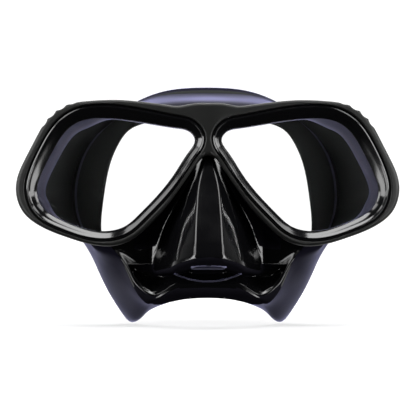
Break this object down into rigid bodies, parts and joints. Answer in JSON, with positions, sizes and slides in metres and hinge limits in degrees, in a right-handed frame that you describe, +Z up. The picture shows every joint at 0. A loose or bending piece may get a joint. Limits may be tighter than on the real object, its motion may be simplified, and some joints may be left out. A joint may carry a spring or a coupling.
{
  "type": "diving mask",
  "caption": "Low-volume diving mask with two tempered lenses, a soft skirt with a nose pocket, and swivel buckles with quick-release levers for a head strap",
  "frame": {"origin": "centre of the bottom of the bounding box, under the skirt's two lower points", "axes": "+X towards the wearer's left temple, -Y the way the wearer looks, +Z up"},
  "size_m": [0.175, 0.0834, 0.1111],
  "materials": {
    "frame_plastic": "satin",
    "retainer_plastic": "gloss",
    "tempered_glass": "polished",
    "silicone": "satin",
    "buckle_plastic": "satin",
    "lever_plastic": "satin",
    "roller_plastic": "gloss",
    "steel": "polished"
  },
  "bodies": {
    "mask": {"frame": "frame_plastic", "skirt": "silicone", "lens_left": "tempered_glass", "lens_right": "tempered_glass", "lens_retainer_left": "retainer_plastic", "lens_retainer_right": "retainer_plastic", "hinge_pin_left": "steel", "hinge_pin_right": "steel"},
    "buckle_left": {"buckle_body_left": "buckle_plastic", "roller_pin_left": "steel", "lever_pin_left": "steel", "lever_spring_left": "steel"},
    "roller_left": {"strap_roller_left": "roller_plastic"},
    "lever_left": {"release_lever_left": "lever_plastic"},
    "buckle_right": {"buckle_body_right": "buckle_plastic", "roller_pin_right": "steel", "lever_pin_right": "steel", "lever_spring_right": "steel"},
    "roller_right": {"strap_roller_right": "roller_plastic"},
    "lever_right": {"release_lever_right": "lever_plastic"}
  },
  "joints": [
    {"name": "buckle_swing_left", "type": "hinge", "parent": "mask", "child": "buckle_left", "pos_m": [0.0826, -0.0042, 0.06389], "axis": [0, 0, -1], "range_deg": [-4, 40]},
    {"name": "release_lever_left", "type": "hinge", "parent": "buckle_left", "child": "lever_left", "pos_m": [0.08378, 0.00753, 0.06389], "axis": [0, 0, -1], "range_deg": [0, 14], "stiffness_Nm_per_rad": 0.01, "springref_deg": -20.05, "deforming": ["lever_spring_left"]},
    {"name": "strap_roller_left", "type": "hinge", "parent": "buckle_left", "child": "roller_left", "pos_m": [0.07959, 0.01538, 0.06389], "axis": [0, 0, 1], "continuous": true},
    {"name": "buckle_swing_right", "type": "hinge", "parent": "mask", "child": "buckle_right", "pos_m": [-0.0826, -0.0042, 0.06389], "axis": [0, 0, 1], "range_deg": [-4, 40]},
    {"name": "release_lever_right", "type": "hinge", "parent": "buckle_right", "child": "lever_right", "pos_m": [-0.08378, 0.00753, 0.06389], "axis": [0, 0, 1], "range_deg": [0, 14], "stiffness_Nm_per_rad": 0.01, "springref_deg": -20.05, "deforming": ["lever_spring_right"]},
    {"name": "strap_roller_right", "type": "hinge", "parent": "buckle_right", "child": "roller_right", "pos_m": [-0.07959, 0.01538, 0.06389], "axis": [0, 0, 1], "continuous": true}
  ]
}
